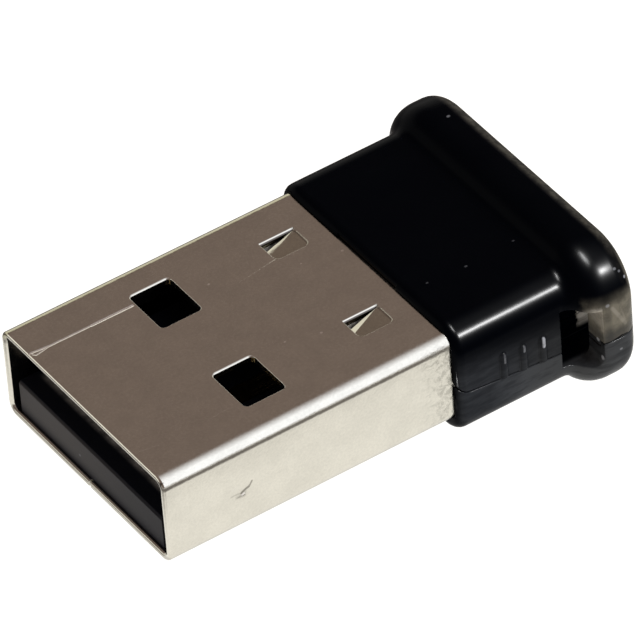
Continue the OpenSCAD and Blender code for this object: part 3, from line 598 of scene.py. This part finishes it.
def smoke_plastic(look):
    """Glossy smoke-black plastic: a paler lower cover, painted olive light in the corner post and pale rims,
    painted highlights on the ribs, and dust
    """
    material, tree, shader = new_material("smoke_plastic")
    place = place_in_mm(tree)
    axes = tree.axes(place)
    dust = group_node(tree, "dust", Place=place, Spacing=1.1, Speck=0.05, Amount=0.25)[0]
    grain = group_node(tree, "fine_grain", Place=place, Fineness=6.0, Mottle=0.6)
    streaks = tree.noise(tree.vector("MULTIPLY", place, (0.5, 1.0, 2.2)), 1.4, 4.0, 0.6)
    outside = tree.ramp(tree.math("ABSOLUTE", axes["Y"]), 6.0, 6.35)

    # The parting line: sloping along the body, level on the flange
    on_flange = tree.math("GREATER_THAN", axes["X"], OPENING_X)
    seam = tree.highest(tree.math("MULTIPLY_ADD", axes["X"], SEAM_SLOPE, SEAM_START),
                        tree.math("MULTIPLY_ADD", on_flange, FLANGE_SEAM_Z - FAR_BELOW, FAR_BELOW))
    above = tree.math("SUBTRACT", axes["Z"], seam)
    lower = tree.ramp(above, 0.02, -0.02)
    upper = tree.math("SUBTRACT", 1.0, lower)

    # The post at the corner and its front face, the face's lower part, and the passage's inner wall, where
    # light and shade are painted below
    ragged = tree.math("MULTIPLY_ADD", tree.noise(place, 2.4, 3.0, 0.6), 0.5, -0.25)
    ragged_x = tree.math("ADD", axes["X"], ragged)
    post = tree.times(tree.ramp(axes["Y"], POST_Y + 0.05, POST_Y - 0.1),
                      tree.ramp(ragged_x, POST_X - 0.75, POST_X - 0.2), tree.ramp(axes["Z"], 1.95, 1.1))
    front = tree.times(tree.ramp(axes["X"], POST_X + 0.03, POST_X + 0.01),
                       tree.ramp(tree.math("ADD", axes["Z"], ragged), 1.4, 1.2),
                       post, upper, tree.ramp(above, 0.3, 1.5, 0.05, 1.0))
    facing = tree.times(tree.ramp(tree.off(axes["X"], POST_X), 0.03, 0.01),
                        tree.ramp(axes["Z"], -1.5, -1.3))
    wall = tree.times(tree.ramp(ragged_x, POST_X + 0.3, POST_X + 0.5), tree.ramp(axes["Y"], -5.3, -5.0),
                      tree.ramp(axes["Y"], -4.7, -4.85), tree.ramp(above, -1.1, -0.6),
                      tree.ramp(axes["Z"], 1.4, 1.2))

    # Where light gets through: the post, the wall, the corner's rear rim and the crest of the rear edge
    rim = tree.times(tree.ramp(axes["X"], REAR_X - 0.45, REAR_X - 0.15),
                     tree.ramp(axes["Z"], -3.0, 0.0, 0.45, 0.8), tree.ramp(axes["Y"], -5.6, -6.9),
                     tree.ramp(above, -0.1, 0.3, 0.55, 0.9))
    crest = tree.times(tree.ramp(axes["X"], REAR_X - 0.80, REAR_X - 0.45), tree.ramp(axes["Z"], 1.6, 2.3),
                       tree.ramp(tree.noise(place, 2.6, 4.0, 0.65), 0.35, 0.65, 0.14, 0.42),
                       tree.ramp(axes["Y"], -6.7, -5.4, 0.15, 1.0))
    thin = tree.times(post, tree.ramp(above, 0.3, 1.0, 0.42, 1.0), upper,
                      tree.ramp(tree.off(axes["X"], POST_X + 0.25), 0.3, 0.05, 1.0, 0.65),
                      tree.ramp(tree.noise(place, 1.6, 3.0, 0.6), 0.3, 0.7, 0.6, 1.15))
    thin = tree.highest(thin, wall, rim, crest)
    # Painted highlights along the creases in the lit post
    lit_crease = tree.times(strokes(tree, place, POST_CREASES), thin)
    # Painted light on the passage's inner wall and the post's front face
    lit_patches = tree.highest(tree.times(wall, tree.ramp(streaks, 0.35, 0.6, 0.25, 0.9)),
                          tree.times(front, tree.ramp(streaks, 0.3, 0.7, 0.2, 0.5)))

    # The lower cover's paler plastic, darker towards the plug and the post, with painted shade on the face
    # at the post; and a painted glow on the upper cover's sides, lighter towards the seam
    haze = tree.times(lower, tree.ramp(axes["X"], HOUSING_X + 0.3, HOUSING_X + 4.2, 0.3, 1.1),
                      tree.ramp(axes["X"], OPENING_X, POST_X, 0.95, 0.78),
                      tree.math("MULTIPLY_ADD", facing, -0.7, 1.0))
    glow = tree.times(tree.ramp(above, 2.2, 0.4, 0.0, 0.46), outside)
    haze = tree.times(tree.highest(haze, glow), tree.ramp(streaks, 0.32, 0.68, 0.72, 1.28), outside)
    bluer = tuple(c * share for c, share in zip(look.haze, BLUER))
    hazy = tree.mix(tree.ramp(axes["X"], 15.0, 19.0), bluer, look.haze)

    rib_highlight = tree.times(strokes(tree, place, RIB_HIGHLIGHTS),
                      tree.ramp(tree.noise(place, 5.0, 3.0, 0.6), 0.3, 0.6, 0.4, 1.0))
    # Dust specks and dust, with the ribs' painted highlights
    pale = tree.highest(dots(tree, place, HOUSING_SPECKS, 0.04), tree.times(dust, 0.12), rib_highlight)
    tree.put(shader, "Base Color", tree.layers(
        look.smoke, (haze, hazy), (thin, look.thin), (lit_crease, (0.36, 0.33, 0.27)),
        (lit_patches, (0.62, 0.58, 0.50)), (strokes(tree, place, POST_CRACK), look.smoke),
        (pale, (0.45, 0.46, 0.48))))
    tree.put(shader, "Roughness", tree.total(0.215, (grain["Cloud"], 0.07), (pale, 0.3)))
    shader.inputs["Specular IOR Level"].default_value = 0.012
    tree.put(shader, "Normal", tree.bump(tree.total(grain["Cloud"], (lit_crease, 0.3)), 0.2, 0.03 * MM))
    return material


def board_laminate(look):
    """Green mask over glass laminate, with paler tracks under it"""
    material, tree, shader = new_material("board_laminate")
    place = place_in_mm(tree)
    grain = group_node(tree, "fine_grain", Place=place, Fineness=8.0, Mottle=1.0)
    tracks = tree.add("ShaderNodeTexBrick", {"offset": 0.37, "squash": 1.0}, Vector=place, Scale=1.3,
                      Mortar_Size=0.06).outputs["Fac"]
    tree.put(shader, "Base Color", tree.mix(tracks, look.mask, toned(look.mask, 2.2)))
    tree.put(shader, "Roughness", tree.total(0.25, (grain["Grain"], 0.15)))
    tree.put(shader, "Normal", tree.bump(tracks, 0.4, 0.03 * MM))
    return material


def plain_part(name, colour, roughness, metallic):
    """Ceramic, resin or tin: one colour with a fine grain in its colour, gloss and relief"""
    material, tree, shader = new_material(name)
    grain = group_node(tree, "fine_grain", Place=place_in_mm(tree), Fineness=14.0, Mottle=1.5)
    tree.put(shader, "Base Color", tree.mix(grain["Cloud"], toned(colour, 0.8), colour))
    tree.put(shader, "Roughness", tree.total(roughness, (grain["Grain"], 0.2)))
    shader.inputs["Metallic"].default_value = metallic
    tree.put(shader, "Normal", tree.bump(grain["Grain"], 0.4, 0.01 * MM))
    return material


def merged_copy(node, joined_below=1e-7, flat_below=0.5):
    """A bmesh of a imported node, with its loose triangles merged and its flat faces joined"""
    bm = bmesh.new()
    bm.from_mesh(NODES[node].data)
    bmesh.ops.remove_doubles(bm, verts=bm.verts, dist=joined_below)
    bmesh.ops.dissolve_limit(bm, angle_limit=math.radians(flat_below), verts=bm.verts, edges=bm.edges)
    return bm


def weigh_edges(bm, radius_at, widest, sharper_than=35):
    """Gives each sharp edge a bevel weight: the radius that is wanted between its ends, over the widest"""
    layer = bm.edges.layers.float.new("bevel_weight_edge")
    for edge in bm.edges:
        if edge.is_manifold and edge.calc_face_angle() > math.radians(sharper_than):
            edge[layer] = radius_at(*(v.co for v in edge.verts)) / widest


def finish_piece(bm, name, node, material, widest, segments=3, smooth_below=35):
    """Makes a bmesh the piece that stands for a node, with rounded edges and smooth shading"""
    mesh = bpy.data.meshes.new(name)
    bm.to_mesh(mesh)
    bm.free()
    mesh.materials.append(material)
    mesh.shade_smooth()
    mesh.set_sharp_from_angle(angle=math.radians(smooth_below))
    piece = bpy.data.objects.new(name, mesh)
    bpy.context.scene.collection.objects.link(piece)
    rounding = piece.modifiers.new("Rounded edges", "BEVEL")
    rounding.limit_method = "WEIGHT"
    rounding.width = widest
    rounding.segments = segments
    rounding.use_clamp_overlap = False
    weighted = piece.modifiers.new("Even shading", "WEIGHTED_NORMAL")
    weighted.keep_sharp = True
    weighted.weight = 100
    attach(piece, "root")
    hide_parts(node)


def dress_node(node, material):
    """Gives a carried-over node its material and slot"""
    data = NODES[node].data
    data.materials.clear()
    data.materials.append(material)


class ADAPTER_OT_plug_shell(bpy.types.Operator):
    """Round the cut edges of the folded sheet and plate it"""

    bl_idname = "adapter.plug_shell"
    bl_label = "Plug shell"

    def execute(self, context):
        look = context.scene.adapter_plug
        bm = merged_copy("plug_shell")

        def radius(a, b):
            if max(a.x, b.x) < MOUTH_X + NEAR:
                return look.mouth_r
            middle = (a + b) / 2
            if self.on_window(middle) and middle.y > self.window_y(middle):
                along = abs((b - a).normalized().x)
                return look.edge_r + (look.punched_r - look.edge_r) * along
            return look.edge_r

        weigh_edges(bm, radius, look.mouth_r)
        finish_piece(bm, "plug_shell_sheet", "plug_shell", nickel_sheet(look),
                     look.mouth_r)
        return {"FINISHED"}

    def window_y(self, point):
        """The middle of the window on a point's side"""
        return math.copysign(WINDOW_PITCH / 2, point.y)

    def on_window(self, point):
        """Whether a point lies on the rim of a window in the top or the bottom"""
        along = abs(point.x - MOUTH_X - WINDOW_X) < WINDOW_L / 2 + NEAR
        across = abs(point.y - self.window_y(point)) < WINDOW_W / 2 + NEAR
        outside = min(PLUG_HIGH.z - point.z, point.z - PLUG_LOW.z) < NEAR
        return along and across and outside


class ADAPTER_OT_insulator(bpy.types.Operator):
    """Mould the insulator with soft edges"""

    bl_idname = "adapter.insulator"
    bl_label = "Insulator"

    def execute(self, context):
        look = context.scene.adapter_plug
        bm = merged_copy("plug_insulator")
        weigh_edges(bm, lambda a, b: look.edge_r, look.edge_r)
        finish_piece(bm, "insulator_moulding", "plug_insulator",
                     insulator_plastic(look), look.edge_r, segments=2)
        return {"FINISHED"}


class ADAPTER_OT_contacts(bpy.types.Operator):
    """Gild the four contacts"""

    bl_idname = "adapter.contacts"
    bl_label = "Contacts"

    def execute(self, context):
        material = gold_contact(context.scene.adapter_plug)
        for node in ("contact_power", "contact_data_minus", "contact_data_plus", "contact_ground"):
            dress_node(node, material)
        return {"FINISHED"}


MOULDINGS = {"upper_cover": "upper_moulding", "lower_cover": "lower_moulding"}


class ADAPTER_OT_covers(bpy.types.Operator):
    """Mould the two covers in smoke plastic"""

    bl_idname = "adapter.covers"
    bl_label = "Covers"

    def execute(self, context):
        look = context.scene.adapter_housing
        material = smoke_plastic(look)
        for node, name in MOULDINGS.items():
            bm = merged_copy(node, joined_below=3e-6)
            weigh_edges(bm, lambda a, b: look.edge_r, look.edge_r)
            finish_piece(bm, name, node, material, look.edge_r, segments=2)
        return {"FINISHED"}


class ADAPTER_OT_board(bpy.types.Operator):
    """Dress the circuit board, the parts on it and the solder"""

    bl_idname = "adapter.board"
    bl_label = "Circuit board"

    def execute(self, context):
        look = context.scene.adapter_board
        dress_node("circuit_board", board_laminate(look))
        # Each finish: its colour, roughness and metallic, and the nodes that have it
        finishes = {
            "chip_resin": (look.resin, 0.45, 0.0,
                           ("radio_chip", "memory_chip", "voltage_regulator", "surge_protector")),
            "pale_ceramic": ((0.72, 0.69, 0.60), 0.5, 0.0, ("band_filter", "chip_antenna")),
            "dark_ceramic": ((0.03, 0.03, 0.033), 0.4, 0.0, ("power_bead", "resistors")),
            "tan_ceramic": ((0.42, 0.27, 0.14), 0.4, 0.0, ("capacitors",)),
            "crystal_lid": ((0.75, 0.72, 0.66), 0.2, 1.0, ("crystal",)),
            "clear_resin": ((0.75, 0.72, 0.45), 0.1, 0.0, ("indicator_light",)),
            "solder": (look.tin, 0.18, 1.0, ("contact_joints", "shell_joints")),
        }
        for slot, (colour, roughness, metallic, nodes) in finishes.items():
            material = plain_part(slot, colour, roughness, metallic)
            for node in nodes:
                dress_node(node, material)
        return {"FINISHED"}


CAMERA_PLACE = Vector((-150.532, -250.567, 259.908)) * MM
CAMERA_TURN = (48.7511, 3.6300, -34.2447)
CAMERA_LENS = 534.375
SENSOR_W = 36.0
KEY_DIRECTION = Vector((0.39, -0.68, 0.62)).normalized()
KEY_SIZE = (0.05, 0.05)
STRIP_DIRECTION = Vector((0.02, -0.20, 0.98)).normalized()
STRIP_SIZE = (0.03, 0.24)
LIGHT_DISTANCE = 0.5
CAMERA_CLIP = (0.01, 10.0)
WHITE = (1.0, 1.0, 1.0)
FLOOR_SIDES = 96
FLOOR_LIGHT = (1.0, 0.995, 0.97, 1.0)
# Where the floor's light, as reflections see it, is least and full beside the adapter and far off
LIT_BESIDE = (9 * MM, 2.5 * MM)
LIT_FAR_OFF = (15 * MM, 100 * MM)


class ADAPTER_OT_studio(bpy.types.Operator):
    """Set up the floor, the room, the lights and the camera"""

    bl_idname = "adapter.studio"
    bl_label = "Studio"

    def execute(self, context):
        look = context.scene.adapter_studio
        self.floor(look)
        self.room(look)
        self.light("key", KEY_DIRECTION, look.key_power, KEY_SIZE)
        self.light("strip", STRIP_DIRECTION, look.strip_power, STRIP_SIZE)
        self.camera()
        return {"FINISHED"}

    def floor(self, look):
        """A disc of backlit paper"""
        bm = bmesh.new()
        bmesh.ops.create_circle(bm, cap_ends=True, segments=FLOOR_SIDES, radius=look.floor_r)
        mesh = bpy.data.meshes.new("floor")
        bm.to_mesh(mesh)
        bm.free()
        material, tree, shader = new_material("floor_paper")
        spot = tree.add("ShaderNodeTexCoord").outputs["Object"]
        fibre = tree.noise(spot, 400.0, 3.0, 0.6)
        tree.put(shader, "Base Color", tree.mix(fibre, toned(look.floor, 0.98), look.floor))
        shader.inputs["Roughness"].default_value = 0.9
        shader.inputs["Specular IOR Level"].default_value = 0.1
        shader.inputs["Emission Color"].default_value = FLOOR_LIGHT
        # Reflections see the floor dim between the two
        axes = tree.axes(spot)
        away = tree.highest(
            tree.math("SUBTRACT", tree.math("ABSOLUTE", axes["X"]), CAD_BOX[1].x),
            tree.math("SUBTRACT", tree.math("ABSOLUTE", axes["Y"]), CAD_BOX[1].y))
        lit = tree.highest(tree.ramp(away, *LIT_BESIDE, 0.12, 1.0),
                           tree.ramp(away, *LIT_FAR_OFF, 0.0, 0.7))
        mirrored = tree.add("ShaderNodeLightPath").outputs["Is Glossy Ray"]
        dim = tree.times(mirrored, tree.math("SUBTRACT", 1.0, lit))
        tree.put(shader, "Emission Strength", tree.times(tree.math("SUBTRACT", 1.0, dim), look.floor_glow))
        mesh.materials.append(material)
        floor = bpy.data.objects.new("floor", mesh)
        bpy.context.scene.collection.objects.link(floor)

    def room(self, look):
        """A dim room with a lit paper sweep behind the adapter and a broad soft light over its near side"""
        world = bpy.data.worlds.new("room")
        world.use_nodes = True
        tree = Tree(world.node_tree)
        axes = tree.axes(tree.add("ShaderNodeTexCoord").outputs["Generated"])
        behind = tree.times(tree.ramp(axes["Z"], 0.52, 0.42), tree.ramp(axes["Y"], -0.1, 0.3))
        box = tree.times(tree.math("MULTIPLY_ADD", axes["Y"], -0.95, 0.5, clamp=True),
                         tree.ramp(axes["Z"], -0.1, 0.2), tree.ramp(axes["X"], -0.35, 0.25))
        seen = tree.add("ShaderNodeLightPath").outputs["Is Camera Ray"]
        tree.put(world.node_tree.nodes["Background"], "Color", tree.layers(
            look.room, (behind, toned(look.sweep, look.sweep_glow)), (box, look.softbox), (seen, WHITE)))
        bpy.context.scene.world = world

    def light(self, name, direction, power, size):
        """A soft lamp that makes highlights, and only on the covers"""
        data = bpy.data.lights.new(name, "AREA")
        data.shape = "ELLIPSE"
        data.size, data.size_y = size
        data.energy = power
        lamp = bpy.data.objects.new(name, data)
        lamp.location = direction * LIGHT_DISTANCE
        lamp.rotation_euler = direction.to_track_quat("Z", "Y").to_euler()
        lamp.visible_diffuse = False
        lit = bpy.data.collections.new(name + "_lit")
        for piece in MOULDINGS.values():
            lit.objects.link(bpy.data.objects[piece])
        lamp.light_linking.receiver_collection = lit
        bpy.context.scene.collection.objects.link(lamp)

    def camera(self):
        """The photograph's view"""
        data = bpy.data.cameras.new("camera")
        data.lens = CAMERA_LENS
        data.sensor_width = SENSOR_W
        data.clip_start, data.clip_end = CAMERA_CLIP
        camera = bpy.data.objects.new("camera", data)
        camera.location = CAMERA_PLACE
        camera.rotation_euler = tuple(math.radians(a) for a in CAMERA_TURN)
        bpy.context.scene.collection.objects.link(camera)
        bpy.context.scene.camera = camera


LOOKS = {"adapter_plug": PlugLook, "adapter_housing": HousingLook, "adapter_board": BoardLook,
         "adapter_studio": StudioLook}
OPERATORS = (ADAPTER_OT_plug_shell, ADAPTER_OT_insulator, ADAPTER_OT_contacts, ADAPTER_OT_covers,
             ADAPTER_OT_board, ADAPTER_OT_studio)


class ADAPTER_PT_panel(bpy.types.Panel):
    """Lists the adapter's pieces in the sidebar"""

    bl_label = "Adapter"
    bl_idname = "ADAPTER_PT_panel"
    bl_space_type = "VIEW_3D"
    bl_region_type = "UI"
    bl_category = "Adapter"

    def draw(self, context):
        for operator in OPERATORS:
            self.layout.operator(operator.bl_idname)
        for name, look in LOOKS.items():
            box = self.layout.box()
            for key in look.__annotations__:
                box.prop(getattr(context.scene, name), key)


def register():
    for cls in (*LOOKS.values(), *OPERATORS, ADAPTER_PT_panel):
        bpy.utils.register_class(cls)
    for name, look in LOOKS.items():
        setattr(bpy.types.Scene, name, bpy.props.PointerProperty(type=look))


def unregister():
    for name in LOOKS:
        delattr(bpy.types.Scene, name)
    for cls in reversed((*LOOKS.values(), *OPERATORS, ADAPTER_PT_panel)):
        bpy.utils.unregister_class(cls)


def main():
    register()
    make_stroke_group()
    make_grain_group()
    make_dust_group()
    make_hairline_group()
    for operator in OPERATORS:
        group, name = operator.bl_idname.split(".")
        getattr(getattr(bpy.ops, group), name)()
    bpy.context.scene.view_settings.view_transform = "Standard"


if __name__ == "__main__":
    main()
